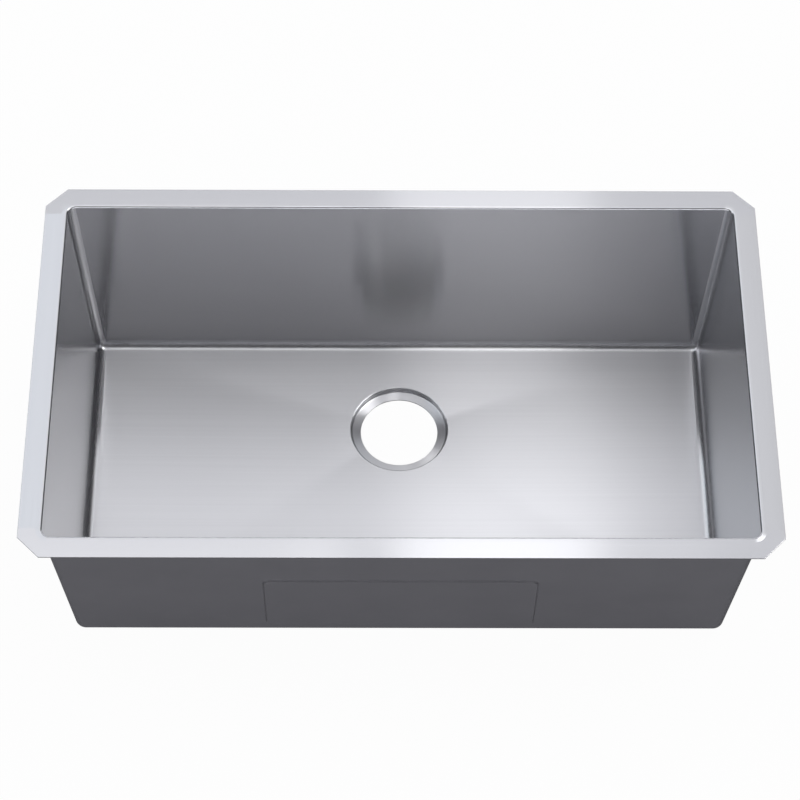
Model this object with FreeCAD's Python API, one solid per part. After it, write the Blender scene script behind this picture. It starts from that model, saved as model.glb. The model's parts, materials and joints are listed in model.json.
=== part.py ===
"""Undermount kitchen sink: one deep rectangular bowl, welded up from drafted stainless sheet.

The sheet work is worked out as one continuous shell and then divided along its seams into the blanks
that a fabricator folds and presses: a creased floor pan with coved edges and ball corners, four walls
with their flange strips, four flat flange corners, and the beads that join them, ground flush.
Rubber sound pads are stuck to the outside, and a sprayed coat covers the outside and the pads.

Frame, in millimetres: X along the sink, Y to the back, Z up. The origin is under the middle of the
sink, level with the underside of the drain's seat, which is the lowest point.
"""

import FreeCAD
import Part

import math
import os

from FreeCAD import Vector

# Overall sizes
flange_length = 812.8  # 32 in, along X
flange_depth = 482.6  # 19 in, along Y
flange_width = 25.4  # 1 in, all round the opening
flange_chamfer = 24.0  # leg of the 45 degree cut across each flange corner
outside_depth = 254.0  # 10 in, flange top to the coated underside at the floor's edge

# Sheet, pads and coat
sheet = 1.5  # 16 gauge stainless
pad_thickness = 3.0
coat = 1.0

# Bowl
corner_radius = 10.0  # inside, in the corners and along the floor's edge
side_lean = 14.3  # how far an end wall leans in over its height
front_lean = 21.6  # how far the front or back wall leans in over its height
bend_radius = 1.0  # inside the fold between wall and flange
floor_fall = 5.0  # from the floor's edge down to the drain's rim
drain_back = 76.0  # from the middle of the bowl back to the drain

# Drain seat
hole_radius = 46.0  # for a 3 1/2 in strainer
recess_radius = 57.15  # 4 1/2 in across
recess_depth = 6.0  # from the drain's rim down to its seat
recess_corner = 2.0  # inside radius at the foot of the recess
rim_radius = 2.5  # rounding over the drain's rim
dish_slope = 0.25  # rise over run of the floor where it is drawn down to the rim

# Seams
weld_width = 2.0
seam_land = 2.0  # flat sheet between a bend and its seam
pan_upstand = 16.0  # flat wall above the cove that is pressed with the floor pan

# Sound pads
wall_pad_height = 120.0
front_pad_length = 300.0
side_pad_length = 200.0
pad_floor_gap = 22.0  # from the floor's edge up to a wall pad
pad_edge_gap = 30.0  # from the cove in to a floor pad
pad_gap = 20.0  # between floor pads, and from them to the bare ring
pad_corner = 8.0
coat_drop = 10.0  # from the underside of the flange to the start of the coat
ring_margin = 3.0  # bare sheet outside the drawn-down part of the drain

# Levels
inside_depth = outside_depth - coat - sheet
seat_level = sheet
drain_level = seat_level + recess_depth
floor_level = drain_level + floor_fall
flange_top = floor_level + inside_depth
flange_under = flange_top - sheet
fold_radius = bend_radius + sheet  # over the visible edge of the opening
seam_inset = corner_radius + seam_land
floor_seam = floor_level + corner_radius + pan_upstand

# Plan sizes
opening_half = Vector(flange_length / 2 - flange_width, flange_depth / 2 - flange_width, 0)
lean = Vector(side_lean / inside_depth, front_lean / inside_depth, 0)
floor_half = opening_half - Vector(side_lean, front_lean, 0)
cove_inset = Vector(
    corner_radius * (math.hypot(1, lean.x) - lean.x), corner_radius * (math.hypot(1, lean.y) - lean.y), 0
)
pan_half = floor_half - cove_inset  # where the coves run out into the floor
drain = Vector(0, drain_back, 0)

# The drain's rim: the rounding ends where the dish takes over
dish_angle = math.atan(dish_slope)
rim_end = recess_radius + rim_radius * (1 - math.sin(dish_angle))
rim_centre_level = drain_level - rim_radius * math.cos(dish_angle)
dish_reach = rim_end + floor_fall / dish_slope
bare_ring = dish_reach + ring_margin

reach = flange_length + flange_depth  # longer than anything here, for cutting tools


def solid_between(corners):
    """A solid from the polygons that bound it."""
    faces = [Part.Face(Part.makePolygon(points + points[:1])) for points in corners]
    return Part.Solid(Part.Shell(faces))


def wall_x(level, offset):
    """Half the bowl's length at a level, grown by offset square to the end walls."""
    return opening_half.x - lean.x * (flange_top - level) + offset * math.hypot(1, lean.x)


def wall_y(level, offset):
    """Half the bowl's width at a level, grown by offset square to the long walls."""
    return opening_half.y - lean.y * (flange_top - level) + offset * math.hypot(1, lean.y)


def rectangle(half_x, half_y, level):
    """Corners of a rectangle about the Z axis, anticlockwise from front left."""
    signs = [(-1, -1), (1, -1), (1, 1), (-1, 1)]
    return [Vector(x * half_x, y * half_y, level) for x, y in signs]


def floor_pyramid(offset):
    """The shallow four-sided fall of the floor to the drain, lowered by offset."""
    base = rectangle(pan_half.x, pan_half.y, floor_level - offset)
    apex = drain + Vector(0, 0, drain_level - offset)
    sides = [[base[i], base[(i + 1) % 4], apex] for i in range(4)]
    return solid_between(sides + [base])


def bowl_block(offset, top):
    """The bowl's hollow as a solid block, grown by offset on every face."""
    bottom = floor_level - offset
    low = rectangle(wall_x(bottom, offset), wall_y(bottom, offset), bottom)
    high = rectangle(wall_x(top, offset), wall_y(top, offset), top)
    walls = [[low[i], low[(i + 1) % 4], high[(i + 1) % 4], high[i]] for i in range(4)]
    block = solid_between(walls + [low, high])
    rounded = [edge for edge in block.Edges if edge.BoundBox.ZMin < (bottom + top) / 2]
    block = block.makeFillet(corner_radius + offset, rounded)
    return block.fuse(floor_pyramid(offset)).removeSplitter()


def arcs(centre, radius, start, end):
    """Two arcs in the XZ plane about a centre, from one angle to another, each half of the turn."""
    angles = [start + (end - start) * step / 4 for step in range(5)]
    points = [centre + radius * Vector(math.cos(angle), 0, math.sin(angle)) for angle in angles]
    return [Part.Arc(*points[:3]).toShape(), Part.Arc(*points[2:]).toShape()]


def lines(points):
    """Straight edges from each point to the next."""
    return [Part.makeLine(*pair) for pair in zip(points, points[1:])]


def turned_about_drain(edges):
    """Revolve a half section in the XZ plane about the drain's axis."""
    turned = Part.Face(Part.Wire(edges)).revolve(Vector(0, 0, 0), Vector(0, 0, 1), 360)
    return turned.translated(drain)


def drain_hollow():
    """The hole, seat, recess, rounded rim and dish, as the solid that they take out of the sheet."""
    corner = Vector(recess_radius - recess_corner, 0, seat_level + recess_corner)
    rim = Vector(recess_radius + rim_radius, 0, rim_centre_level)
    above = floor_level + rim_radius
    foot = [(0, -sheet), (hole_radius, -sheet), (hole_radius, seat_level), (corner.x, seat_level)]
    wall = [(recess_radius, corner.z), (recess_radius, rim.z)]
    dish = [(rim_end, drain_level), (dish_reach, floor_level), (dish_reach, above), (0, above), (0, -sheet)]
    section = lines([Vector(x, 0, z) for x, z in foot])
    section += arcs(corner, recess_corner, -math.pi / 2, 0)
    section += lines([Vector(x, 0, z) for x, z in wall])
    section += arcs(rim, rim_radius, math.pi, math.pi / 2 + dish_angle)
    section += lines([Vector(x, 0, z) for x, z in dish])
    return turned_about_drain(section)


def drain_boss():
    """The outside of the drawn-down drain: the recess grown by the sheet, its foot cut at 45 degrees."""
    wall = recess_radius + sheet
    cut = (2 - math.sqrt(2)) * (recess_corner + sheet)
    dish_drop = sheet * math.hypot(1, dish_slope)
    under_dish = floor_level - dish_drop
    under_rim = under_dish - (dish_reach - wall) * dish_slope
    foot = [(0, 0), (wall - cut, 0), (wall, cut), (wall, under_rim)]
    dish = [(dish_reach, under_dish), (dish_reach, floor_level), (0, floor_level), (0, 0)]
    return turned_about_drain(lines([Vector(x, 0, z) for x, z in foot + dish]))


def flange_plate():
    """The flange as one plate, its corners cut at 45 degrees."""
    x, y = flange_length / 2, flange_depth / 2
    cut = flange_chamfer
    outline = [(-x + cut, -y), (x - cut, -y), (x, -y + cut), (x, y - cut)]
    outline += [(x - cut, y), (-x + cut, y), (-x, y - cut), (-x, -y + cut)]
    points = [Vector(px, py, flange_under) for px, py in outline]
    return Part.Face(Part.makePolygon(points + points[:1])).extrude(Vector(0, 0, sheet))


def loop_at(shape, level, half):
    """Edges that lie at one level inside a rectangle: the opening's loop, not the flange's outline."""
    found = []
    for edge in shape.Edges:
        box = edge.BoundBox
        flat = abs(box.ZMin - level) < 1e-4 and abs(box.ZMax - level) < 1e-4
        if flat and box.XMax < half.x and box.XMin > -half.x and box.YMax < half.y and box.YMin > -half.y:
            found.append(edge)
    return found


def sheet_shell():
    """All the sheet work as one shell, before it is divided into blanks."""
    shell = flange_plate().fuse([bowl_block(sheet, flange_top), drain_boss()])
    shell = shell.cut(bowl_block(0, flange_top + flange_width)).cut(drain_hollow()).removeSplitter()
    inside_outline = Vector(flange_length / 2 - sheet, flange_depth / 2 - sheet, 0)
    shell = shell.makeFillet(fold_radius, loop_at(shell, flange_top, inside_outline))
    return shell.makeFillet(bend_radius, loop_at(shell, flange_under, inside_outline))


def long_wall_zone(side, inset):
    """Everything beyond a plane parallel to the front (-1) or back (1) wall, set into the bowl by inset."""
    low, high = -sheet, flange_top + sheet
    points = [
        Vector(-reach, side * wall_y(low, -inset), low),
        Vector(-reach, side * wall_y(high, -inset), high),
        Vector(-reach, side * reach, high),
        Vector(-reach, side * reach, low),
    ]
    return Part.Face(Part.makePolygon(points + points[:1])).extrude(Vector(2 * reach, 0, 0))


def end_wall_zone(side, inset):
    """Everything beyond a plane parallel to the left (-1) or right (1) wall, set into the bowl by inset."""
    low, high = -sheet, flange_top + sheet
    points = [
        Vector(side * wall_x(low, -inset), -reach, low),
        Vector(side * wall_x(high, -inset), -reach, high),
        Vector(side * reach, -reach, high),
        Vector(side * reach, -reach, low),
    ]
    return Part.Face(Part.makePolygon(points + points[:1])).extrude(Vector(0, 2 * reach, 0))


def between_levels(low, high):
    """A level slab, wider than the sink."""
    return Part.makeBox(2 * reach, 2 * reach, high - low, Vector(-reach, -reach, low))


def corner_zone(end, side, grow):
    """Where a flat flange corner is, outside the fold that goes round the opening, grown by its seam."""
    inset = seam_inset + grow
    zone = end_wall_zone(end, inset).common(long_wall_zone(side, inset))
    inner_edge = fold_radius + seam_land + weld_width - grow
    zone = zone.cut(bowl_block(inner_edge, flange_top + inner_edge))
    return zone.common(between_levels(flange_under - bend_radius, flange_top + sheet))


def half_at(shape, end):
    """The part of a shape at the left (-1) or right (1) end."""
    start = Vector(min(0, end) * reach, -reach, -sheet)
    return shape.common(Part.makeBox(reach, 2 * reach, 2 * reach, start))


def sheet_pieces(shell):
    """Divide the shell along its seams: the pan, four walls, four flange corners and their beads."""
    sides = {"front": -1, "back": 1}
    ends = {"left": -1, "right": 1}
    pieces = {
        "floor_pan": shell.common(between_levels(-sheet, floor_seam)),
        "floor_weld": shell.common(between_levels(floor_seam, floor_seam + weld_width)),
    }
    upper = shell.common(between_levels(floor_seam + weld_width, flange_top + sheet))
    walls = upper
    for side_name, side in sides.items():
        for end_name, end in ends.items():
            place = f"{side_name}_{end_name}"
            corner = corner_zone(end, side, 0)
            with_bead = corner_zone(end, side, weld_width)
            pieces[f"flange_corner_{place}"] = upper.common(corner)
            pieces[f"flange_weld_{place}"] = upper.common(with_bead.cut(corner))
            walls = walls.cut(with_bead)
    ends_only = walls
    for side_name, side in sides.items():
        folded = long_wall_zone(side, seam_inset)
        with_bead = long_wall_zone(side, seam_inset + weld_width)
        pieces[f"{side_name}_wall"] = walls.common(folded)
        beads = walls.common(with_bead.cut(folded))
        for end_name, end in ends.items():
            pieces[f"corner_weld_{side_name}_{end_name}"] = half_at(beads, end)
        ends_only = ends_only.cut(with_bead)
    for end_name, end in ends.items():
        pieces[f"{end_name}_wall"] = half_at(ends_only, end)
    return pieces


def rounded_bar(low, high, along, radius):
    """A box between two corners, with its four edges along one axis rounded."""
    size = high - low
    bar = Part.makeBox(size.x, size.y, size.z, low)
    edges = [edge for edge in bar.Edges if abs(edge.tangentAt(edge.FirstParameter).dot(along)) > 0.5]
    return bar.makeFillet(radius, edges)


def wall_pad_bars(grow):
    """A bar through each wall pad, square to the wall, with the pad's outline grown all round."""
    foot = floor_level + pad_floor_gap - grow
    head = floor_level + pad_floor_gap + wall_pad_height + grow
    front = front_pad_length / 2 + grow
    side = side_pad_length / 2 + grow
    along_x, along_y = Vector(1, 0, 0), Vector(0, 1, 0)
    spans = {
        "front_sound_pad": (Vector(-front, -reach, foot), Vector(front, 0, head), along_y),
        "back_sound_pad": (Vector(-front, 0, foot), Vector(front, reach, head), along_y),
        "left_sound_pad": (Vector(-reach, -side, foot), Vector(0, side, head), along_x),
        "right_sound_pad": (Vector(0, -side, foot), Vector(reach, side, head), along_x),
    }
    return {name: rounded_bar(*span, pad_corner + grow) for name, span in spans.items()}


def floor_pad_bars(grow):
    """A square-cornered bar through each floor pad, with the pad's outline grown all round."""
    pan_x = pan_half.x - pad_edge_gap + grow
    pan_y = pan_half.y - pad_edge_gap + grow
    inner = bare_ring + pad_gap - grow
    middle = bare_ring + grow
    middle_back = drain_back - bare_ring - pad_gap + grow
    spans = {
        "floor_pad_left": (-pan_x, -inner, pan_y),
        "floor_pad_right": (inner, pan_x, pan_y),
        "floor_pad_front": (-middle, middle, middle_back),
    }
    return {
        name: Part.makeBox(right - left, back + pan_y, floor_level, Vector(left, -pan_y, 0))
        for name, (left, right, back) in spans.items()
    }


def pad_bars(grow):
    """The bars through all the sound pads."""
    return {**wall_pad_bars(grow), **floor_pad_bars(grow)}


def sound_pads():
    """The rubber pads, each as thick as the next and lying on the outside of the sheet."""
    layer = bowl_block(sheet + pad_thickness, flange_under).cut(bowl_block(sheet, flange_top))
    return {name: bar.common(layer) for name, bar in pad_bars(0).items()}


def undercoat(pads):
    """The sprayed coat: it follows the sheet, rises over the pads and leaves the drain bare."""
    top = flange_under - coat_drop
    padded = bowl_block(sheet + pad_thickness + coat, top)
    skin = bowl_block(sheet + coat, top).fuse([bar.common(padded) for bar in pad_bars(coat).values()])
    ring = Part.makeCylinder(bare_ring, floor_level, drain)
    return skin.cut(bowl_block(sheet, flange_top)).cut(ring).cut(list(pads.values())).removeSplitter()


def all_pieces():
    """Every piece of the sink, by name."""
    pieces = sheet_pieces(sheet_shell())
    pads = sound_pads()
    return {**pieces, **pads, "undercoat": undercoat(pads)}


def write_step(name, shape):
    """Write one piece, as the single solid that it is, to its own file."""
    if len(shape.Solids) != 1 or not shape.isValid():
        raise ValueError(f"{name} is not one sound solid")
    shape.Solids[0].exportStep(os.path.join("parts", f"{name}.step"))


if __name__ == "__main__":
    os.makedirs("parts", exist_ok=True)
    for piece_name, piece in all_pieces().items():
        write_step(piece_name, piece)
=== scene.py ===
"""Looks for an undermount kitchen sink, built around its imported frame.

The sheet work is first modelled as one continuous skin: a drafted bowl with coved edges and ball
corners, a floor creased down to the drain, the drain seat, and the flange folded over the rim. The
skin is then parted along the fabricator's seams, so that each blank and each dressed weld is a
piece of its own, and every piece is given the thickness of the sheet. The sprayed coat follows,
over rubber pads that keep their CAD solids.
"""

import json
import logging
import math
from dataclasses import dataclass, field
from enum import IntEnum
from typing import Callable, Iterable, Optional

import bmesh
import bpy
from bmesh.types import BMEdge, BMFace, BMesh, BMVert
from mathutils import Matrix, Vector

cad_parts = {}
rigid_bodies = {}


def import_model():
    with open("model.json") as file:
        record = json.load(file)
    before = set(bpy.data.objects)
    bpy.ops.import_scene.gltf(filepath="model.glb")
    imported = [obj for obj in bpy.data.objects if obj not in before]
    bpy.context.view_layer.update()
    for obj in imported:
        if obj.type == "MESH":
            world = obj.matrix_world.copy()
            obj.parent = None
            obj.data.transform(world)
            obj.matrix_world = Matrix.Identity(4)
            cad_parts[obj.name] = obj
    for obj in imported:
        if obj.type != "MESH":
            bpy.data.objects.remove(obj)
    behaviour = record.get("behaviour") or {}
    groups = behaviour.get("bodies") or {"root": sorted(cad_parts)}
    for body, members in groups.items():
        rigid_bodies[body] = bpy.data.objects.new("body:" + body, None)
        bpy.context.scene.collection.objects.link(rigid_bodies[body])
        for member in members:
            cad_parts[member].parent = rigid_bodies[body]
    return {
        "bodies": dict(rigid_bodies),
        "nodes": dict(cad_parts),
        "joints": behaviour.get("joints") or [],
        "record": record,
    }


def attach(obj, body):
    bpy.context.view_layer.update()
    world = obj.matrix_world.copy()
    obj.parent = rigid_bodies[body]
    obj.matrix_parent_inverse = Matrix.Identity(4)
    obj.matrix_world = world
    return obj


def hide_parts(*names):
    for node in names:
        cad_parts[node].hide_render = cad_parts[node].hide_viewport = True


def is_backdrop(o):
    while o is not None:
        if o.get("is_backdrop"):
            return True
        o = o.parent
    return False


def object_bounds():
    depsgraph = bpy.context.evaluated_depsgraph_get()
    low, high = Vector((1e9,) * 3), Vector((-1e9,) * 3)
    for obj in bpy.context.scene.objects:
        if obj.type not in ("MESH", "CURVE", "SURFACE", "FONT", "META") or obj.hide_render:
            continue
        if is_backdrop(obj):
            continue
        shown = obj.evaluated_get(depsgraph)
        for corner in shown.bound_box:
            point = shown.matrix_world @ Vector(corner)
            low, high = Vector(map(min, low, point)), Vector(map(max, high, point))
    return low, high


log = logging.getLogger("sink")

Colour = tuple[float, float, float]
X, Y = 0, 1
WALLS = ((Y, -1), (Y, 1), (X, -1), (X, 1))  # axis and side of the front, back, left and right
TINY = 1e-5  # metres, too short to matter to a shape
MERGE = 1e-6  # points nearer to each other than this are one
ON_PLANE = 1e-7  # points nearer to a cutting plane than this lie on it
LEVEL = 0.9  # least upward part of a level face's normal
CIRCULAR = 0.5  # the bevel operator's profile for an arc
SHARP = math.radians(38)  # edges that turn more than this shade crisply
GRAIN = "grain"
RING = "ring"
GRAIN_SHIFT = {"front": 0.0, "right": 1.0, "back": 2.0, "left": 3.0}  # keeps the walls' lines apart
MIX_A, MIX_B, MIX_OUT = 6, 7, 2  # the Mix node's sockets for colours


class Ring(IntEnum):
    """How far out on the flange a face is."""

    BOWL = 0
    FOLD = 1
    BEAD = 2
    PLATE = 3


@dataclass(frozen=True)
class SinkSizes:
    """Sizes of the sink in metres, the same as in its CAD source."""

    flange_length: float = 0.8128
    flange_depth: float = 0.4826
    flange_width: float = 0.0254
    flange_chamfer: float = 0.0240
    flange_top: float = 0.2640
    floor_level: float = 0.0125
    drain_level: float = 0.0075
    seat_level: float = 0.0015
    side_lean: float = 0.0143
    front_lean: float = 0.0216
    sheet: float = 0.0015
    coat: float = 0.0010
    drain_back: float = 0.0760
    hole_radius: float = 0.0460
    recess_radius: float = 0.05715
    bare_ring: float = 0.08204
    floor_seam: float = 0.0385
    seam_inset: float = 0.0120
    weld_width: float = 0.0020
    fold_land: float = 0.0045
    coat_top: float = 0.2525

    @property
    def opening(self) -> Vector:
        """Half the length and width of the opening, where the walls' planes meet the flange's."""
        length = self.flange_length / 2 - self.flange_width
        return Vector((length, self.flange_depth / 2 - self.flange_width, 0.0))

    @property
    def lean(self) -> Vector:
        """Run over rise of the end walls and of the long walls."""
        rise = self.flange_top - self.floor_level
        return Vector((self.side_lean / rise, self.front_lean / rise, 0.0))

    @property
    def drain(self) -> Vector:
        """The drain's axis on the ground plane."""
        return Vector((0.0, self.drain_back, 0.0))

    def half(self, level: float, offset: float = 0.0) -> Vector:
        """Half the bowl's plan at a level.

        Args:
            level: Height of the section.
            offset: Growth square to each wall.

        Returns:
            Half the length and half the width, as x and y.
        """
        drop = self.flange_top - level
        grow = Vector((math.hypot(1, self.lean.x), math.hypot(1, self.lean.y), 0.0)) * offset
        return self.opening - self.lean * drop + grow

    def wall_plane(self, axis: int, sign: int, inset: float) -> tuple[Vector, Vector]:
        """A plane parallel to one wall.

        Args:
            axis: The level axis that the wall lies across.
            sign: Which side of that axis the wall is on.
            inset: How far into the bowl the plane is moved.

        Returns:
            A point of the plane and its normal, which points out of the bowl.
        """
        point, normal = Vector((0.0, 0.0, self.flange_top)), Vector((0.0, 0.0, -self.lean[axis]))
        normal[axis] = sign
        point[axis] = sign * (self.opening[axis] - inset * math.hypot(1, self.lean[axis]))
        return point, normal.normalized()


SIZES = SinkSizes()


def beyond(point: Vector, plane: tuple[Vector, Vector]) -> bool:
    """Whether a point is on the side of a plane that its normal points to."""
    return (point - plane[0]).dot(plane[1]) > 0


def cut(bm: BMesh, plane: tuple[Vector, Vector], drop_outer: bool = False,
        faces: Optional[list[BMFace]] = None) -> None:
    """Cut a mesh along a plane.

    Args:
        bm: The mesh.
        plane: A point of the plane and its normal.
        drop_outer: Whether what is beyond the plane goes.
        faces: The faces to cut, or None for all of them.
    """
    geom = [*bm.verts, *bm.edges, *bm.faces]
    if faces is not None:
        edges = {e for f in faces for e in f.edges}
        geom = [*{v for e in edges for v in e.verts}, *edges, *faces]
    bmesh.ops.bisect_plane(bm, geom=geom, dist=ON_PLANE, plane_co=plane[0], plane_no=plane[1],
                           clear_outer=drop_outer)


def round_edges(bm: BMesh, edges: Iterable[BMEdge], setback: float, segments: int) -> dict:
    """Round edges over with a circular bevel.

    Args:
        bm: The mesh.
        edges: The edges to round.
        setback: Distance from the edge to where the rounding starts, on each face.
        segments: Number of facets across the rounding.

    Returns:
        What the bevel operator gives.
    """
    return bmesh.ops.bevel(bm, geom=list(edges), offset=setback, offset_type="OFFSET",
                           segments=segments, profile=CIRCULAR, affect="EDGES",
                           clamp_overlap=False, material=-1)


def edges_within(verts: Iterable[BMVert]) -> list[BMEdge]:
    """The edges whose two ends are both among some vertices."""
    kept = set(verts)
    return list({e for v in kept for e in v.link_edges if e.other_vert(v) in kept})


def drafted_box(bottom: float, top: float, offset: float) -> BMesh:
    """A box without a lid, its walls leaning out as the sink's do.

    Args:
        bottom: Level of its floor.
        top: Level of its open edge.
        offset: How far its walls are outside the bowl's inner faces.

    Returns:
        The new mesh, with its faces pointing out.
    """
    bm = bmesh.new()
    bmesh.ops.create_cube(bm, size=2.0)
    for vert in bm.verts:
        level = top if vert.co.z > 0 else bottom
        half = SIZES.half(level, offset)
        vert.co = Vector((vert.co.x * half.x, vert.co.y * half.y, level))
    middle = (top + bottom) / 2
    lid = [f for f in bm.faces if f.normal.z > LEVEL and f.calc_center_median().z > middle]
    bmesh.ops.delete(bm, geom=lid, context="FACES_ONLY")
    return bm


def inner_edges(bm: BMesh) -> list[BMEdge]:
    """The edges that two faces share."""
    return [e for e in bm.edges if len(e.link_faces) == 2]


def mesh_object(name: str, bm: BMesh) -> bpy.types.Object:
    """Put a bmesh into a new object of the scene, smooth shaded.

    Args:
        name: Name of the object and its mesh.
        bm: The mesh, which is freed.

    Returns:
        The object, at the origin.
    """
    mesh = bpy.data.meshes.new(name)
    for face in bm.faces:
        face.smooth = True
    bm.to_mesh(mesh)
    bm.free()
    piece = bpy.data.objects.new(name, mesh)
    bpy.context.scene.collection.objects.link(piece)
    return piece


def thicken(bm: BMesh, thickness: float) -> list[BMFace]:
    """Give an open skin a thickness, on the side that its faces point away from.

    Args:
        bm: The skin.
        thickness: The thickness.

    Returns:
        The new faces along its borders.
    """
    skin = set(bm.faces)
    borders = [e for e in bm.edges if len(e.link_faces) == 1]
    bmesh.ops.solidify(bm, geom=list(skin), thickness=thickness)
    return [f for e in borders for f in e.link_faces if f not in skin]


def crisp_borders(bm: BMesh) -> None:
    """Mark every edge that turns more than a bend's facets do, so that it shades crisply."""
    for edge in bm.edges:
        edge.smooth = len(edge.link_faces) == 2 and edge.calc_face_angle() < SHARP


def even_normals(piece: bpy.types.Object) -> None:
    """Let the large flat faces of a piece set the shading beside its roundings."""
    weighted = piece.modifiers.new("even normals", "WEIGHTED_NORMAL")
    weighted.mode = "FACE_AREA"
    weighted.keep_sharp = True


@dataclass
class SheetSkin:
    """The face of all the sheet work that is seen from above, as one open surface."""

    corner_setback: float = 0.00955
    corner_segments: int = 12
    fold_setback: float = 0.00233
    fold_segments: int = 6
    overshoot: float = 0.02
    long_steps: tuple[int, int] = (32, 44)
    end_steps: int = 16
    shortest_wall: float = 0.228
    turns: int = 108
    seat_rise: float = 0.0010
    recess_corner: float = 0.0020
    recess_segments: int = 5
    rim_setback: float = 0.0017
    rim_segments: int = 6
    flange_spread: float = 0.08
    square_share: float = 0.02
    bm: BMesh = field(default_factory=bmesh.new)

    def make(self) -> BMesh:
        """Model the skin.

        Returns:
            The skin, its faces pointing up and into the bowl, with its grain laid out.
        """
        self.bm = drafted_box(SIZES.floor_level, SIZES.flange_top + self.overshoot, 0.0)
        round_edges(self.bm, inner_edges(self.bm), self.corner_setback, self.corner_segments)
        rim = (Vector((0, 0, SIZES.flange_top)), Vector((0, 0, 1)))
        cut(self.bm, rim, drop_outer=True)
        self.divide_walls()
        self.draw_drain()
        self.bm.faces.layers.int.new(RING)
        self.fold_flange()
        bmesh.ops.recalc_face_normals(self.bm, faces=self.bm.faces)
        flange = max(self.bm.faces, key=lambda f: f.calc_center_median().z)
        if flange.normal.z < 0:
            bmesh.ops.reverse_faces(self.bm, faces=self.bm.faces)
        self.lay_grain()
        self.cut_seams()
        return self.bm

    def divide_walls(self) -> None:
        """Take the flat floor out and divide the walls to suit the creases that meet its edge."""
        floor = max(self.bm.faces, key=lambda f: abs(f.normal.z) * f.calc_area())
        bmesh.ops.delete(self.bm, geom=[floor], context="FACES_ONLY")
        quarter = math.pi / 2
        front, back = (steps * self.turn / 2 for steps in self.long_steps)
        for sign in (-1, 1):
            self.divide_side(Y, X, sign, self.end_steps, (front - quarter, quarter - back))
        self.divide_side(X, Y, -1, self.long_steps[0], (-quarter - front, front - quarter))
        self.divide_side(X, Y, 1, self.long_steps[1], (quarter + back, quarter - back))

    def divide_side(self, along: int, across: int, sign: int, steps: int,
                    sweep: tuple[float, float]) -> None:
        """Divide one wall into columns that stand where the drain's rays meet its foot.

        Args:
            along: The axis that the wall runs along.
            across: The other level axis.
            sign: Which side of that axis the wall is on.
            steps: Number of columns.
            sweep: Angles, about the drain, of the rays to the wall's two ends.
        """
        run = [
            e for e in self.bm.edges
            if abs(e.verts[0].co[along] - e.verts[1].co[along]) > self.shortest_wall
            and e.verts[0].co[across] * sign > 0 and e.verts[1].co[across] * sign > 0
        ]
        made = bmesh.ops.subdivide_edges(self.bm, edges=run, cuts=steps - 1, use_grid_fill=True)
        foot = self.flat_half(SIZES.floor_level)[along]
        for vert in (v for v in made["geom_inner"] if isinstance(v, BMVert)):
            half = self.flat_half(vert.co.z)[along]
            column = round((vert.co[along] / half + 1) / 2 * steps)
            angle = sweep[0] + (sweep[1] - sweep[0]) * column / steps
            ray = Vector((math.cos(angle), math.sin(angle), 0.0))
            if across == X:
                ray.x = abs(ray.x)
            share = (SIZES.drain + ray * self.floor_reach(ray))[along] / foot
            vert.co[along] += half * (share - (2 * column / steps - 1))

    @property
    def turn(self) -> float:
        """Angle between neighbouring rays about the drain."""
        return math.tau / self.turns

    def flat_half(self, level: float) -> Vector:
        """Half the length and width of the bowl's flat faces at a level."""
        return SIZES.half(level) - Vector((1, 1, 0)) * self.corner_setback

    def floor_reach(self, direction: Vector) -> float:
        """Distance from the drain's axis to the coves.

        Args:
            direction: A level unit vector.

        Returns:
            The distance in that direction.
        """
        half = self.flat_half(SIZES.floor_level)
        limits = []
        for axis in (X, Y):
            if abs(direction[axis]) > TINY:
                wall = math.copysign(half[axis], direction[axis])
                limits.append((wall - SIZES.drain[axis]) / direction[axis])
        return min(limits)

    def draw_drain(self) -> None:
        """Turn the drain seat and its recess, and join them to the floor's edge.

        The seat's ledge rises a little to the outside, where the CAD's is flat, and the rim is
        rounded over without the CAD's dish round it.
        """
        coves = [e for e in self.bm.edges if len(e.link_faces) == 1
                 and max(v.co.z for v in e.verts) < SIZES.floor_level + TINY]
        section = [(SIZES.hole_radius, SIZES.seat_level),
                   (SIZES.recess_radius, SIZES.seat_level + self.seat_rise),
                   (SIZES.recess_radius, SIZES.drain_level)]
        points = [self.bm.verts.new(SIZES.drain + Vector((r, 0, z))) for r, z in section]
        lines = [self.bm.edges.new(pair) for pair in zip(points, points[1:])]
        before = set(self.bm.verts) - set(points)
        bmesh.ops.spin(self.bm, geom=[*points, *lines], cent=SIZES.drain, axis=(0, 0, 1),
                       angle=math.tau, steps=self.turns, use_merge=True)
        turned = [v for v in self.bm.verts if v not in before]

        def ring(level: float) -> list[BMVert]:
            """The turned vertices at a level."""
            return [v for v in turned if abs(v.co.z - level) < TINY]

        foot, rim = (ring(level) for _, level in section[1:])
        fall = SIZES.floor_level - SIZES.drain_level
        for vert in rim:
            direction = Vector((vert.co.x, vert.co.y - SIZES.drain_back, 0.0)).normalized()
            vert.co.z += fall * SIZES.recess_radius / self.floor_reach(direction)
        bmesh.ops.bridge_loops(self.bm, edges=coves + edges_within(rim))
        bmesh.ops.recalc_face_normals(self.bm, faces=self.bm.faces)
        round_edges(self.bm, edges_within(foot), self.recess_corner, self.recess_segments)
        round_edges(self.bm, edges_within(rim), self.rim_setback, self.rim_segments)

    def outward(self, point: Vector) -> Vector:
        """Which way the flange runs from a point of the opening's edge, in plan."""
        centre = self.flat_half(SIZES.flange_top)
        step = Vector([
            math.copysign(max(abs(point[i]) - centre[i], 0.0), point[i]) for i in (X, Y)
        ] + [0.0])
        if min(abs(step.x), abs(step.y)) < self.corner_setback * self.square_share:
            step[X if abs(step.x) < abs(step.y) else Y] = 0.0
        return step.normalized()

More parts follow.
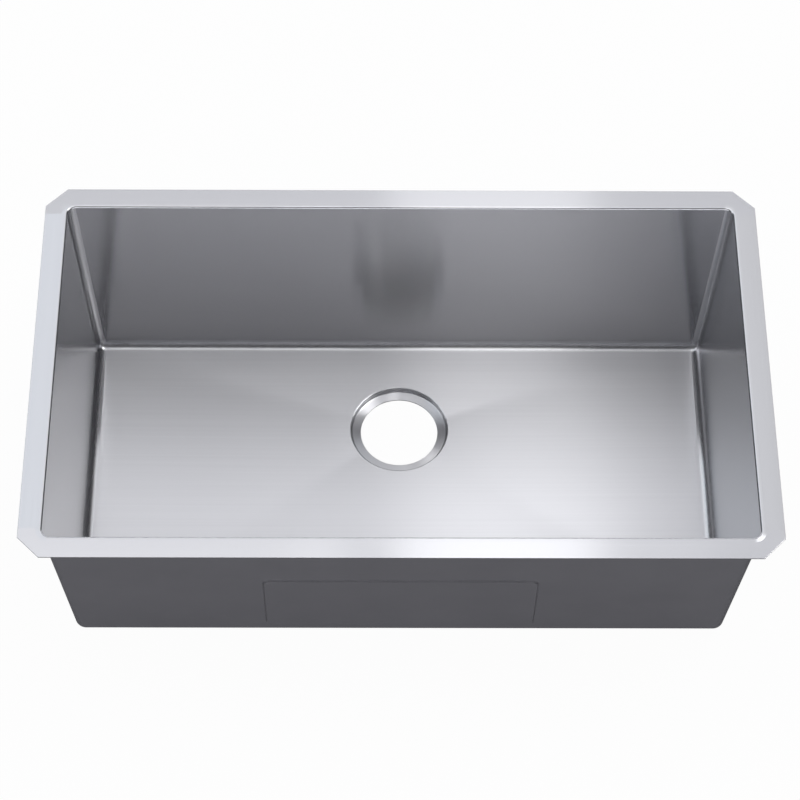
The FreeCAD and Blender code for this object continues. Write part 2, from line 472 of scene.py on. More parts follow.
    def fold_flange(self) -> None:
        """Run the flange out from the opening, trim its outline and round the fold over."""
        tag = self.bm.faces.layers.int[RING]
        edge = [e for e in self.bm.edges if len(e.link_faces) == 1
                and min(v.co.z for v in e.verts) > SIZES.flange_top - TINY]
        fold = {v for e in edge for v in e.verts}
        steps = {Ring.FOLD: SIZES.fold_land, Ring.BEAD: SIZES.weld_width,
                 Ring.PLATE: self.flange_spread}
        aim = {v: self.outward(v.co) for v in fold}
        for ring, width in steps.items():
            made = bmesh.ops.extrude_edge_only(self.bm, edges=edge)["geom"]
            outer = [v for v in made if isinstance(v, BMVert)]
            for vert in outer:
                inner = next(e.other_vert(vert) for e in vert.link_edges
                             if e.other_vert(vert) in aim and e.other_vert(vert) not in outer)
                aim[vert] = aim[inner]
                vert.co += aim[inner] * width
            edge = [e for e in made if isinstance(e, BMEdge)]
            for face in (f for f in made if isinstance(f, BMFace)):
                face[tag] = int(ring)
        self.trim_flange()
        round_edges(self.bm, edges_within(fold), self.fold_setback, self.fold_segments)

    def trim_flange(self) -> None:
        """Cut the flange's four sides and the four corners at 45 degrees."""
        half = Vector((SIZES.flange_length / 2, SIZES.flange_depth / 2, 0.0))
        planes = []
        for sign in (-1, 1):
            planes.append((Vector((sign * half.x, 0, 0)), Vector((sign, 0, 0))))
            planes.append((Vector((0, sign * half.y, 0)), Vector((0, sign, 0))))
            for other in (-1, 1):
                corner = Vector((sign * (half.x - SIZES.flange_chamfer), other * half.y, 0.0))
                planes.append((corner, Vector((sign, other, 0)).normalized()))
        for plane in planes:
            cut(self.bm, plane, drop_outer=True)

    def lay_grain(self) -> None:
        """Give every face a grain map in metres, whose first axis runs along the brushing."""
        uv = self.bm.loops.layers.uv.new(GRAIN)
        tag = self.bm.faces.layers.int[RING]
        for face in self.bm.faces:
            place = self.grain_map(face, face[tag])
            for loop in face.loops:
                loop[uv].uv = place(loop.vert.co)

    def grain_map(self, face: BMFace, ring: int) -> Callable[[Vector], tuple[float, float]]:
        """Choose how the grain lies on a face.

        Args:
            face: The face.
            ring: Which ring of the flange it is in.

        Returns:
            A function from a point to its place along and across the grain.
        """
        middle = face.calc_center_median()
        centre = self.flat_half(SIZES.flange_top)
        spoke = middle - SIZES.drain
        pan = self.flat_half(SIZES.floor_level)
        if spoke.to_2d().length < SIZES.recess_radius + self.rim_setback:
            start = math.atan2(spoke.y, spoke.x)
            return lambda p: self.turned_grain(p, start)
        in_corner = abs(middle.x) > centre.x and abs(middle.y) > centre.y
        on_floor = abs(middle.x) < pan.x and abs(middle.y) < pan.y
        if on_floor or (in_corner and ring == Ring.PLATE):
            return lambda p: (p.x, p.y)
        if self.corner_of(middle):
            return self.corner_grain(middle)
        if abs(middle.y) - pan.y > abs(middle.x) - pan.x:
            sign = math.copysign(1, middle.y)
            shift = GRAIN_SHIFT["back" if sign > 0 else "front"]
            return lambda p: (p.x * -sign + shift, p.z + sign * p.y)
        sign = math.copysign(1, middle.x)
        shift = GRAIN_SHIFT["right" if sign > 0 else "left"]
        return lambda p: (p.y * sign + shift, p.z + sign * p.x)

    def corner_of(self, point: Vector) -> bool:
        """Whether a point is in one of the rounded upright corners."""
        half = self.flat_half(point.z)
        return abs(point.x) > half.x and abs(point.y) > half.y

    def corner_grain(self, middle: Vector) -> Callable[[Vector], tuple[float, float]]:
        """Grain that follows the sheet round an upright corner."""
        turn = math.atan2(math.copysign(1, middle.y), math.copysign(1, middle.x))
        signs = Vector((math.copysign(1, middle.x), math.copysign(1, middle.y), 0.0))

        def place(point: Vector) -> tuple[float, float]:
            """Place of a point along and across the grain."""
            half = self.flat_half(point.z)
            arm = Vector((point.x - signs.x * half.x, point.y - signs.y * half.y))
            angle = math.atan2(arm.y, arm.x) if arm.length > TINY else turn
            angle = (angle - turn + math.pi) % math.tau - math.pi
            return self.corner_setback * angle + turn, point.z + arm.length

        return place

    @staticmethod
    def turned_grain(point: Vector, start: float) -> tuple[float, float]:
        """Grain that runs round the drain's axis, near a starting angle."""
        arm = point - SIZES.drain
        angle = start + (math.atan2(arm.y, arm.x) - start + math.pi) % math.tau - math.pi
        return angle * SIZES.recess_radius, arm.to_2d().length - point.z

    def cut_seams(self) -> None:
        """Cut the skin where the blanks and their welds meet."""
        up = Vector((0, 0, 1))
        for level in (SIZES.floor_seam, SIZES.floor_seam + SIZES.weld_width):
            cut(self.bm, (Vector((0, 0, level)), up))
        for inset in (SIZES.seam_inset, SIZES.seam_inset + SIZES.weld_width):
            for axis, sign in WALLS:
                upper = [f for f in self.bm.faces
                         if f.calc_center_median().z > SIZES.floor_seam + SIZES.weld_width]
                cut(self.bm, SIZES.wall_plane(axis, sign, inset), faces=upper)


def blank_of(point: Vector, ring: int) -> str:
    """Name of the blank or weld that a point of the skin belongs to.

    Args:
        point: A point of the skin, not on a seam.
        ring: Which ring of the flange it is in.

    Returns:
        The name of its CAD node.
    """
    bead = SIZES.seam_inset + SIZES.weld_width
    if point.z < SIZES.floor_seam:
        return "floor_pan"
    if point.z < SIZES.floor_seam + SIZES.weld_width:
        return "floor_weld"
    end, end_sign = ("left", -1) if point.x < 0 else ("right", 1)
    side, side_sign = ("front", -1) if point.y < 0 else ("back", 1)

    def past_side(inset: float) -> bool:
        """Whether the point is beyond the long wall's plane, moved in."""
        return beyond(point, SIZES.wall_plane(Y, side_sign, inset))

    def in_corner(inset: float) -> bool:
        """Whether the point is beyond both walls' planes, moved in."""
        return past_side(inset) and beyond(point, SIZES.wall_plane(X, end_sign, inset))

    if ring == Ring.PLATE and in_corner(SIZES.seam_inset):
        return f"flange_corner_{side}_{end}"
    if ring in (Ring.BEAD, Ring.PLATE) and in_corner(bead):
        return f"flange_weld_{side}_{end}"
    if past_side(SIZES.seam_inset):
        return f"{side}_wall"
    if past_side(bead):
        return f"corner_weld_{side}_{end}"
    return f"{end}_wall"


class Nodes:
    """A material's node tree, filled in step by step."""

    def __init__(self, name: str) -> None:
        """Start a material with nothing but its output.

        Args:
            name: Name of the material.
        """
        self.material = bpy.data.materials.new(name)
        self.material.use_nodes = True
        self.tree = self.material.node_tree
        self.tree.nodes.clear()

    def add(self, kind: str, inputs: Optional[dict] = None, **settings) -> bpy.types.Node:
        """Add a node.

        Args:
            kind: Its type.
            inputs: Values or sockets for its inputs, by name or number.
            **settings: Its own properties.

        Returns:
            The node.
        """
        node = self.tree.nodes.new(kind)
        for key, value in settings.items():
            setattr(node, key, value)
        for key, value in (inputs or {}).items():
            if isinstance(value, bpy.types.NodeSocket):
                self.tree.links.new(value, node.inputs[key])
            else:
                node.inputs[key].default_value = value
        return node

    def noise(self, coordinates: bpy.types.NodeSocket, scale: Vector, detail: float = 2.0,
              roughness: float = 0.5) -> bpy.types.NodeSocket:
        """A noise pattern stretched to its own scale on each axis.

        Args:
            coordinates: What it is laid out on.
            scale: Cycles per metre on each axis.
            detail: How many finer layers it has.
            roughness: How strong the finer layers are.

        Returns:
            The pattern, from 0 to 1.
        """
        laid = self.add("ShaderNodeMapping", {"Vector": coordinates, "Scale": scale})
        noise = self.add("ShaderNodeTexNoise", {"Vector": laid.outputs[0], "Scale": 1.0,
                                                "Detail": detail, "Roughness": roughness})
        return noise.outputs["Fac"]

    def between(self, factor: bpy.types.NodeSocket, low: float, high: float,
                start: float = 0.0, end: float = 1.0) -> bpy.types.NodeSocket:
        """A value that runs from low to high as a factor runs from start to end."""
        span = self.add("ShaderNodeMapRange", {"Value": factor, "From Min": start, "From Max": end,
                                               "To Min": low, "To Max": high})
        return span.outputs[0]

    def tint(self, factor: bpy.types.NodeSocket, low: Colour, high: Colour) -> bpy.types.NodeSocket:
        """A colour that runs from one to another with a factor."""
        mix = self.add("ShaderNodeMix", {0: factor, MIX_A: (*low, 1.0), MIX_B: (*high, 1.0)},
                       data_type="RGBA")
        return mix.outputs[MIX_OUT]

    def bump(self, height: bpy.types.NodeSocket, depth: float,
             under: Optional[bpy.types.NodeSocket] = None) -> bpy.types.NodeSocket:
        """Relief from a height pattern.

        Args:
            height: The pattern, from 0 to 1.
            depth: Height of its highest point, in metres.
            under: Relief that this one lies on.

        Returns:
            The new normal.
        """
        inputs = {"Height": height, "Distance": depth, "Strength": 1.0}
        if under is not None:
            inputs["Normal"] = under
        return self.add("ShaderNodeBump", inputs).outputs[0]

    def finish(self, **inputs) -> bpy.types.Material:
        """Add the surface shader and the output.

        Args:
            **inputs: Values or sockets for the shader, with _ for a space in their names.

        Returns:
            The material.
        """
        named = {key.replace("_", " "): value for key, value in inputs.items()}
        shader = self.add("ShaderNodeBsdfPrincipled", named)
        self.add("ShaderNodeOutputMaterial", {"Surface": shader.outputs[0]})
        return self.material


@dataclass(frozen=True)
class BrushedSteel:
    """Stainless sheet, brushed one way with a fine belt. With satin, the floor and the drain seat
    are also rougher, and their colour is painted lighter, which is painted light.
    """

    name: str
    shade: Colour = (0.615, 0.615, 0.632)
    light: Colour = (0.685, 0.685, 0.702)
    # painted light: how much lighter the floor's and the drain seat's colour is made
    painted_light_gain: float = 0.13
    roughness: tuple[float, float] = (0.17, 0.21)
    satin: float = 0.0
    seat_levels: tuple[float, float] = (0.0028, 0.0038)
    satin_and_light_levels: tuple[float, float, float, float] = (0.0062, 0.0074, 0.0126, 0.0134)
    anisotropy: float = 1.0
    anisotropy_turn: float = 0.25
    line_length: float = 0.045
    line_width: float = 0.00035
    line_depth: float = 0.0000025
    streaks_along: float = 1.5
    streak_width: float = 0.004
    sway: float = 0.00012
    sway_scale: float = 5.0

    def material(self) -> bpy.types.Material:
        """Make the material.

        Returns:
            Brushed steel whose lines follow the piece's grain map.
        """
        nodes = Nodes(self.name)
        grain = nodes.add("ShaderNodeUVMap", uv_map=GRAIN).outputs[0]
        along = nodes.add("ShaderNodeTangent", direction_type="UV_MAP", uv_map=GRAIN).outputs[0]
        places = nodes.add("ShaderNodeTexCoord").outputs["Object"]
        lines = nodes.noise(grain, Vector((1 / self.line_length, 1 / self.line_width, 1)),
                            detail=3.0, roughness=0.6)
        streaks = nodes.noise(grain, Vector((self.streaks_along, 1 / self.streak_width, 1)),
                              detail=4.0, roughness=0.7)
        waves = nodes.noise(places, Vector((1, 1, 1)) * self.sway_scale, detail=1.0)
        sway = nodes.bump(waves, self.sway)
        relief = nodes.bump(lines, self.line_depth, sway)
        roughness = nodes.between(streaks, *self.roughness)
        colour = nodes.tint(streaks, self.shade, self.light)
        # the floor and the drain seat get more roughness, and a lighter colour that is painted
        # light
        if self.satin:
            level = nodes.add("ShaderNodeSeparateXYZ", {0: places}).outputs["Z"]
            rise = nodes.between(level, 0.0, 1.0, *self.satin_and_light_levels[:2])
            fade = nodes.between(level, 1.0, 0.0, *self.satin_and_light_levels[2:])
            seat = nodes.between(level, 1.0, 0.0, *self.seat_levels)
            floor = nodes.add("ShaderNodeMath", {0: rise, 1: fade}, operation="MINIMUM").outputs[0]
            flat = nodes.add("ShaderNodeMath", {0: seat, 1: floor}, operation="MAXIMUM").outputs[0]
            roughness = nodes.add("ShaderNodeMath", {0: flat, 1: self.satin, 2: roughness},
                                  operation="MULTIPLY_ADD").outputs[0]
            # painted light: the colour is lifted on the floor and the seat, standing in for the
            # brighter light they catch
            lift = nodes.between(flat, 1.0, 1.0 + self.painted_light_gain)
            colour = nodes.add("ShaderNodeVectorMath", {0: colour, "Scale": lift},
                               operation="SCALE").outputs[0]
        return nodes.finish(
            Base_Color=colour,
            Metallic=1.0,
            Roughness=roughness,
            Anisotropic=self.anisotropy,
            Anisotropic_Rotation=self.anisotropy_turn,
            Normal=relief,
            Tangent=along,
        )


@dataclass(frozen=True)
class MottledFinish:
    """A dull finish, slightly uneven in shade and finely textured."""

    name: str
    dark: Colour
    pale: Colour
    cloud_scale: float
    texture_scale: float
    texture_depth: float
    roughness: tuple[float, float]
    cloud_detail: float = 3.0
    cloud_roughness: float = 0.5

    def material(self) -> bpy.types.Material:
        """Make the material.

        Returns:
            A matt surface whose clouds and texture are laid out in the object's own space.
        """
        nodes = Nodes(self.name)
        places = nodes.add("ShaderNodeTexCoord").outputs["Object"]
        even = Vector((1, 1, 1))
        clouds = nodes.noise(places, even * self.cloud_scale, self.cloud_detail,
                             self.cloud_roughness)
        texture = nodes.noise(places, even * self.texture_scale, detail=3.0, roughness=0.6)
        return nodes.finish(
            Base_Color=nodes.tint(clouds, self.dark, self.pale),
            Roughness=nodes.between(texture, *self.roughness),
            Normal=nodes.bump(texture, self.texture_depth),
        )


UNDERCOAT = MottledFinish(
    name="undercoat grey", dark=(0.190, 0.186, 0.200), pale=(0.230, 0.226, 0.242),
    cloud_scale=14.0, cloud_detail=4.0, cloud_roughness=0.6,
    texture_scale=900.0, texture_depth=0.00012, roughness=(0.55, 0.75),
)
PAD_RUBBER = MottledFinish(
    name="sound pad rubber", dark=(0.018, 0.018, 0.020), pale=(0.034, 0.033, 0.036),
    cloud_scale=25.0, texture_scale=1500.0, texture_depth=0.00008, roughness=(0.62, 0.85),
)


@dataclass
class SheetWork:
    """The steel of the sink: its floor pan, walls, flange corners and dressed welds."""

    skin: SheetSkin = field(default_factory=SheetSkin)
    steel: BrushedSteel = BrushedSteel("brushed steel")
    # the pan is rougher than the walls, and painted lighter than them as painted light
    pan: BrushedSteel = BrushedSteel("satin steel painted lighter", satin=0.10)
    bead: BrushedSteel = BrushedSteel("dressed weld", roughness=(0.18, 0.22))
    eased_edge: float = 0.0003
    eased_segments: int = 2

    def build(self) -> list[bpy.types.Object]:
        """Model and dress every blank and weld.

        Returns:
            The pieces.
        """
        skin = self.skin.make()
        tag = skin.faces.layers.int[RING]
        skin.faces.index_update()
        names: dict[str, set[int]] = {}
        for face in skin.faces:
            names.setdefault(blank_of(face.calc_center_median(), face[tag]), set()).add(face.index)
        steel, pan, bead = (finish.material() for finish in (self.steel, self.pan, self.bead))
        pieces = []
        for name, faces in sorted(names.items()):
            welded = "weld" in name
            piece = self.part(skin, name, faces)
            piece.data.materials.append(bead if welded else pan if name == "floor_pan" else steel)
            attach(piece, "root")
            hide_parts(name)
            pieces.append(piece)
        skin.free()
        return pieces

    def part(self, skin: BMesh, name: str, faces: set[int]) -> bpy.types.Object:
        """Take one blank or weld out of the skin and give it the sheet's thickness.

        Args:
            skin: The whole skin.
            name: The CAD node that the piece stands for.
            faces: The numbers of its faces.

        Returns:
            The piece.
        """
        bm = skin.copy()
        bm.faces.ensure_lookup_table()
        others = [f for f in bm.faces if f.index not in faces]
        bmesh.ops.delete(bm, geom=others, context="FACES")
        bmesh.ops.remove_doubles(bm, verts=bm.verts, dist=MERGE)
        borders = thicken(bm, SIZES.sheet)
        trimmed = [
            e for e in bm.edges
            if all(self.trimmed(v.co) for v in e.verts) and e.calc_face_angle() > SHARP
            and abs(e.verts[0].co.z - e.verts[1].co.z) < TINY
        ]
        eased = round_edges(bm, trimmed, self.eased_edge, self.eased_segments)["faces"]
        self.edge_grain(bm, [*(f for f in borders if f.is_valid), *eased])
        crisp_borders(bm)
        piece = mesh_object(f"{name}_bead" if "weld" in name else f"{name}_blank", bm)
        even_normals(piece)
        return piece

    @staticmethod
    def trimmed(point: Vector) -> bool:
        """Whether a point is on the flange's outline or at the drain hole's edge."""
        x, y = abs(point.x), abs(point.y)
        half_length, half_depth = SIZES.flange_length / 2, SIZES.flange_depth / 2
        return (x > half_length - TINY or y > half_depth - TINY
                or x + y > half_length + half_depth - SIZES.flange_chamfer - TINY
                or (point - SIZES.drain).to_2d().length < SIZES.hole_radius + TINY)

    @staticmethod
    def edge_grain(bm: BMesh, faces: list[BMFace]) -> None:
        """Lay the grain of the cut edges along them."""
        uv = bm.loops.layers.uv[GRAIN]
        for face in faces:
            along = Vector((face.normal.y, -face.normal.x, 0.0)).normalized()
            for loop in face.loops:
                loop[uv].uv = (loop.vert.co.dot(along), loop.vert.co.z)


@dataclass(frozen=True)
class WallPad:
    """Where a rubber pad lies under the coat on one wall."""

    plane: tuple[Vector, Vector]
    length: float
    foot: float = 0.0345
    head: float = 0.1545


@dataclass
class OuterCoat:
    """The sprayed coat on the outside of the bowl, and the rubber pads that it covers."""

    finish: MottledFinish = UNDERCOAT
    rubber: MottledFinish = PAD_RUBBER
    corner_setback: float = 0.01194
    corner_segments: int = 12
    ring_steps: int = 108
    overshoot: float = 0.02
    front_pad: float = 0.300
    side_pad: float = 0.200
    pad_corner: float = 0.0095
    pad_corner_segments: int = 8
    pad_margin: float = 0.0022
    shoulder: tuple[tuple[float, float], ...] = (  # each step's run in and rise
        (0.0006, 0.0001), (0.0005, 0.0004), (0.0004, 0.0010), (0.0004, 0.0010), (0.0005, 0.0004),
        (0.0006, 0.0001),
    )
    floor_pads: tuple[tuple[float, float, float, float], ...] = (  # left, front, right, back
        (-0.32725, -0.15512, -0.10204, 0.15512), (0.10204, -0.15512, 0.32725, 0.15512),
        (-0.08204, -0.15512, 0.08204, -0.02604),
    )

    @property
    def offset(self) -> float:
        """How far the coat's face is outside the bowl's inner faces."""
        return SIZES.sheet + SIZES.coat

    def build(self, nodes: dict[str, bpy.types.Object]) -> bpy.types.Object:
        """Spray the coat and dress the pads.

        Args:
            nodes: The CAD nodes by name.

        Returns:
            The coat.
        """
        rubber = self.rubber.material()
        for node in (node for name, node in nodes.items() if "_pad" in name):
            node.data.materials.clear()
            node.data.materials.append(rubber)
        bottom = SIZES.floor_level - self.offset
        bm = drafted_box(bottom, SIZES.coat_top + self.overshoot, self.offset)
        round_edges(bm, inner_edges(bm), self.corner_setback, self.corner_segments)
        cut(bm, (Vector((0, 0, SIZES.coat_top)), Vector((0, 0, 1))), drop_outer=True)
        for axis, sign in WALLS:
            length = self.front_pad if axis == Y else self.side_pad
            self.raise_over(bm, WallPad(SIZES.wall_plane(axis, sign, -self.offset), length))
        self.crease_floor(bm)
        bmesh.ops.recalc_face_normals(bm, faces=bm.faces)
        lowest = min(bm.faces, key=lambda f: f.calc_center_median().z)
        if lowest.normal.z > 0:
            bmesh.ops.reverse_faces(bm, faces=bm.faces)
        for pad in self.floor_pads:
            self.lower_under(bm, *pad)
        thicken(bm, SIZES.coat)
        crisp_borders(bm)
        coat = mesh_object("sprayed_undercoat", bm)
        even_normals(coat)
        coat.data.materials.append(self.finish.material())
        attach(coat, "root")
        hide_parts("undercoat")
        return coat

    @property
    def floor_half(self) -> Vector:
        """Half the length and width of the flat floor."""
        level = SIZES.floor_level - self.offset
        return SIZES.half(level, self.offset) - Vector((1, 1, 0)) * self.corner_setback

    def raised_plate(self, bm: BMesh, frame: Matrix, length: float, width: float) -> list[BMFace]:
        """Model the coat over a pad, as a plate with round corners and soft shoulders.

        Args:
            bm: The mesh it is added to.
            frame: The pad's middle and axes, of which the third points out of the coat.
            length: Length of the pad along the first axis.
            width: Width of the pad along the second axis.

        Returns:
            The faces of the plate.
        """
        others = set(bm.faces)
        grown = 2 * self.pad_margin
        place = frame @ Matrix.Diagonal((length + grown, width + grown, 1, 1))
        verts = bmesh.ops.create_grid(bm, x_segments=1, y_segments=1, size=0.5,
                                      matrix=place)["verts"]
        bmesh.ops.bevel(bm, geom=verts, offset=self.pad_corner, offset_type="OFFSET",
                        segments=self.pad_corner_segments, profile=CIRCULAR, affect="VERTICES",
                        clamp_overlap=False, material=-1)
        plate = next(f for f in bm.faces if f not in others)
        for inset, rise in self.shoulder:
            bmesh.ops.inset_individual(bm, faces=[plate], thickness=inset, depth=rise,
                                       use_even_offset=True)
        return [f for f in bm.faces if f not in others]

    def raise_over(self, bm: BMesh, pad: WallPad) -> None:
        """Raise the coat of one wall over its pad.

        Args:
            bm: The coat.
            pad: The pad under it.
        """
        point, normal = pad.plane
        up = (Vector((0, 0, 1)) - normal * normal.z).normalized()
        axes = Matrix((up.cross(normal), up, normal)).transposed().to_4x4()
        middle = point + up * (((pad.foot + pad.head) / 2 - point.z) / up.z)
        panel = max(bm.faces, key=lambda f: f.normal.dot(normal) * f.calc_area())
        raised = self.raised_plate(bm, Matrix.Translation(middle) @ axes, pad.length,
                                   (pad.head - pad.foot) / up.z)
        outline = [e for e in {e for f in raised for e in f.edges} if len(e.link_faces) == 1]
        frame = list(panel.edges)
        bmesh.ops.delete(bm, geom=[panel], context="FACES_ONLY")
        bmesh.ops.triangle_fill(bm, edges=frame + outline, use_beauty=True, normal=normal)

    def crease_floor(self, bm: BMesh) -> None:
        """Replace the flat underside with four facets, open round the bare drain."""
        under = min(bm.faces, key=lambda f: f.normal.z * f.calc_area())
        corners, sides = list(under.verts), list(under.edges)
        bmesh.ops.delete(bm, geom=[under], context="FACES_ONLY")
        ring = bmesh.ops.create_circle(bm, segments=self.ring_steps, radius=SIZES.bare_ring,
                                       matrix=Matrix.Translation(SIZES.drain))["verts"]
        creases = []
        for corner in corners:
            spoke = (corner.co - SIZES.drain).to_2d().normalized().to_3d()
            nearest = max(ring, key=lambda v: (v.co - SIZES.drain).dot(spoke))
            nearest.co = SIZES.drain + spoke * SIZES.bare_ring
            creases.append(bm.edges.new((corner, nearest)))
        for vert in ring:
            vert.co.z = self.underside(vert.co)
        for axis in (X, Y):
            for sign in (-1, 1):
                rim = [e for e in [*sides, *edges_within(ring)]
                       if self.facet_of((e.verts[0].co + e.verts[1].co) / 2)[1] == (axis, sign)]
                spokes = [e for e, corner in zip(creases, corners) if corner.co[axis] * sign > 0]
                bmesh.ops.edgeloop_fill(bm, edges=rim + spokes)

    def facet_of(self, point: Vector) -> tuple[float, tuple[int, int]]:
        """Where a point lies on the creased floor.

        Args:
            point: The point.

        Returns:
            How far the point is from the drain's axis to the floor's edge, as a share, and the
            facet it lies on, as the axis and the sign of its side of the floor.
        """
        arm, reach = point - SIZES.drain, self.floor_half
        shares = [abs(arm[i]) / (reach[i] - math.copysign(SIZES.drain[i], arm[i])) for i in (X, Y)]
        axis = X if shares[X] > shares[Y] else Y
        return shares[axis], (axis, 1 if arm[axis] > 0 else -1)

    def underside(self, point: Vector) -> float:
        """Level of the coat under the creased floor at a point in plan."""
        fall = SIZES.floor_level - SIZES.drain_level
        return SIZES.drain_level - self.offset + fall * self.facet_of(point)[0]

    def lower_under(self, bm: BMesh, left: float, front: float, right: float, back: float) -> None:
        """Lower the coat of the floor over one of its pads, bent along the floor's creases.

        Args:
            bm: The coat.
            left: Left side of the pad.
            front: Its front side.
            right: Its right side.
            back: Its back side.
        """
        middle = Matrix.Translation(((left + right) / 2, (front + back) / 2, 0.0))
        others = set(bm.faces)
        self.raised_plate(bm, middle @ Matrix.Rotation(math.pi, 4, "X"), right - left, back - front)
        for sign in (-1, 1):
            for depth in (-1, 1):
                corner = self.floor_half * Vector((sign, depth, 0))
                crease = (corner - SIZES.drain).cross(Vector((0, 0, 1))).normalized()
                cut(bm, (SIZES.drain, crease), faces=[f for f in bm.faces if f not in others])
        for vert in {v for f in bm.faces if f not in others for v in f.verts}:
            vert.co.z += self.underside(vert.co)


@dataclass(frozen=True)
class Softbox:
    """An evenly lit rectangle, which faces down unless it is given an aim.

    Its glow is how bright its face is, whatever its size.
    """

    name: str
    place: Vector
    width: float
    height: float
    glow: float
    colour: Colour = (1.0, 1.0, 1.0)
    aim: Optional[Vector] = None

    def hang(self) -> None:
        """Add the lamp to the scene."""
        data = bpy.data.lights.new(self.name, "AREA")
        data.shape = "RECTANGLE"
        data.size, data.size_y = self.width, self.height
        data.energy = math.pi * self.width * self.height * self.glow
        data.color = self.colour
        lamp = bpy.data.objects.new(self.name, data)
        lamp.matrix_world = Matrix.Translation(self.place)
        if self.aim is not None:
            turn = (self.aim - self.place).to_track_quat("-Z", "Y")
            lamp.matrix_world = lamp.matrix_world @ turn.to_matrix().to_4x4()
        bpy.context.scene.collection.objects.link(lamp)


def ceiling_lights() -> tuple[Softbox, ...]:
    """The softboxes of the studio.

    Those that overlap hang a little apart in height.

    Returns:
        Two rows overhead, with strips near the middle that add to them, and three lower fills.
    """
    cool = (0.86, 0.93, 1.0)
    pale = (0.95, 0.96, 1.0)
    middle = Vector((0, 0, 0.1))
    return (
        Softbox("back row", Vector((0.0, 2.0, 3.0)), 2.0, 2.0, 1.0, pale),
        Softbox("back row left", Vector((-1.7, 2.0, 3.0)), 1.4, 2.0, 1.25, cool),
        Softbox("back row right", Vector((1.7, 2.0, 3.0)), 1.4, 2.0, 0.50),
        Softbox("back strip", Vector((0.25, 2.0, 3.01)), 0.5, 2.0, 0.38),
        Softbox("top row", Vector((0.0, 0.3, 3.0)), 2.0, 1.4, 0.72, pale),
        Softbox("top row left", Vector((-1.7, 0.3, 3.0)), 1.4, 1.4, 1.25, cool),
        Softbox("top row right", Vector((1.7, 0.3, 3.0)), 1.4, 1.4, 5.2),
        Softbox("top strip", Vector((0.24, -0.1, 3.02)), 0.4, 2.2, 1.0),
        Softbox("top strip surround", Vector((0.25, 0.3, 3.01)), 0.9, 1.4, 0.40),
        Softbox("top left of strip", Vector((-0.55, 0.3, 3.03)), 0.9, 1.4, 0.80),
        Softbox("front fill", Vector((0.0, -3.0, 0.8)), 6.0, 1.2, 2.3, pale, middle),
        Softbox("back fill", Vector((0.0, 3.0, 0.8)), 6.0, 1.2, 1.6, pale, middle),
        Softbox("left fill", Vector((-2.771, 0.0, 1.6)), 1.6, 1.6, 1.5, pale, middle),
    )


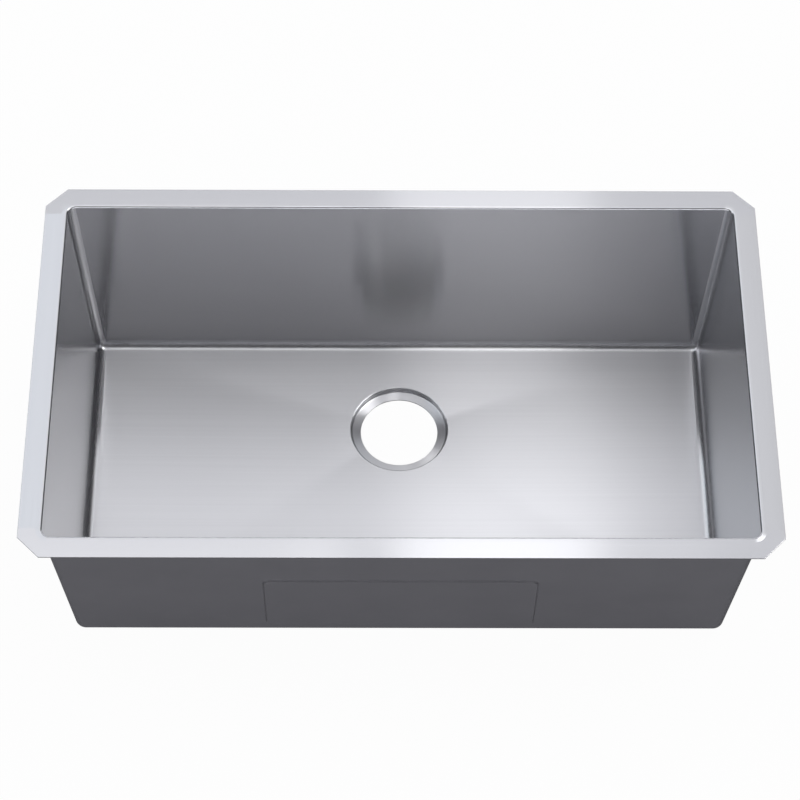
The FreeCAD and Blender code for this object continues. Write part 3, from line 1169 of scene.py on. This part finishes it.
@dataclass
class Studio:
    """The floor, the lights and the camera."""

    eye: Vector = field(default_factory=lambda: Vector((-0.0267, -1.5600, 2.6511)))
    pitch: float = 32.41
    yaw: float = -0.951
    roll: float = 0.951
    lens: float = 116.5
    sensor_width: float = 36.0
    floor_size: float = 24.0
    floor_grey: float = 0.80
    floor_white: float = 0.97
    floor_shade: float = 0.20
    sky_shade: Colour = (0.07, 0.07, 0.075)
    sky_seen: Colour = (1.0, 1.0, 1.0)
    softboxes: tuple[Softbox, ...] = field(default_factory=ceiling_lights)

    def build(self) -> None:
        """Set the stage."""
        self.camera()
        self.floor()
        for box in self.softboxes:
            box.hang()
        self.sky()

    def camera(self) -> None:
        """Put the camera where the photograph was taken from."""
        data = bpy.data.cameras.new("camera")
        data.lens = self.lens
        data.sensor_width = self.sensor_width
        camera = bpy.data.objects.new("camera", data)
        turns = [(self.yaw, "Z"), (self.pitch, "X"), (self.roll, "Z")]
        matrix = Matrix.Translation(self.eye)
        for angle, axis in turns:
            matrix = matrix @ Matrix.Rotation(math.radians(angle), 4, axis)
        camera.matrix_world = matrix
        bpy.context.scene.collection.objects.link(camera)
        bpy.context.scene.camera = camera

    def floor(self) -> None:
        """Lay the plain floor, nearly white where the camera sees it and grey to all else."""
        bm = bmesh.new()
        bmesh.ops.create_grid(bm, x_segments=2, y_segments=2, size=self.floor_size / 2)
        floor = mesh_object("floor", bm)
        nodes = Nodes("pale floor")
        ray = nodes.add("ShaderNodeLightPath").outputs["Is Camera Ray"]
        plain, shade = (
            nodes.add("ShaderNodeBsdfDiffuse", {"Color": (grey, grey, grey, 1.0)}).outputs[0]
            for grey in (self.floor_grey, self.floor_shade)
        )
        glow = nodes.add("ShaderNodeEmission", {"Color": (1, 1, 1, 1), "Strength": 1.0}).outputs[0]
        seen = nodes.add("ShaderNodeMixShader",
                         {0: self.floor_white, 1: plain, 2: glow}).outputs[0]
        both = nodes.add("ShaderNodeMixShader", {0: ray, 1: shade, 2: seen}).outputs[0]
        nodes.add("ShaderNodeOutputMaterial", {"Surface": both})
        floor.data.materials.append(nodes.material)
        floor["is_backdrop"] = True

    def sky(self) -> None:
        """Surround the stage with an even dark grey, white where the camera sees it."""
        world = bpy.data.worlds.new("studio")
        world.use_nodes = True
        tree = world.node_tree
        tree.nodes.clear()
        ray = tree.nodes.new("ShaderNodeLightPath")
        colour = tree.nodes.new("ShaderNodeMix")
        colour.data_type = "RGBA"
        colour.inputs[MIX_A].default_value = (*self.sky_shade, 1.0)
        colour.inputs[MIX_B].default_value = (*self.sky_seen, 1.0)
        light = tree.nodes.new("ShaderNodeBackground")
        output = tree.nodes.new("ShaderNodeOutputWorld")
        tree.links.new(ray.outputs["Is Camera Ray"], colour.inputs[0])
        tree.links.new(colour.outputs[MIX_OUT], light.inputs["Color"])
        tree.links.new(light.outputs[0], output.inputs["Surface"])
        bpy.context.scene.world = world


def corners(box: tuple[Vector, Vector]) -> list[list[float]]:
    """The two corners of a box as plain lists of numbers."""
    return [[float(value) for value in corner] for corner in box]


def main() -> None:
    """Load the frame, build every part of the sink and report what was made."""
    logging.basicConfig(level=logging.INFO, format="%(name)s: %(message)s")
    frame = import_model()
    cad_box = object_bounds()
    bpy.context.scene.view_settings.view_transform = "Standard"
    for piece in SheetWork().build():
        log.info("%s: %d faces", piece.name, len(piece.data.polygons))
    coat = OuterCoat().build(frame["nodes"])
    log.info("%s: %d faces", coat.name, len(coat.data.polygons))
    Studio().build()
    {"cad": corners(cad_box), "visual": corners(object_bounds())}


if __name__ == "__main__":
    main()
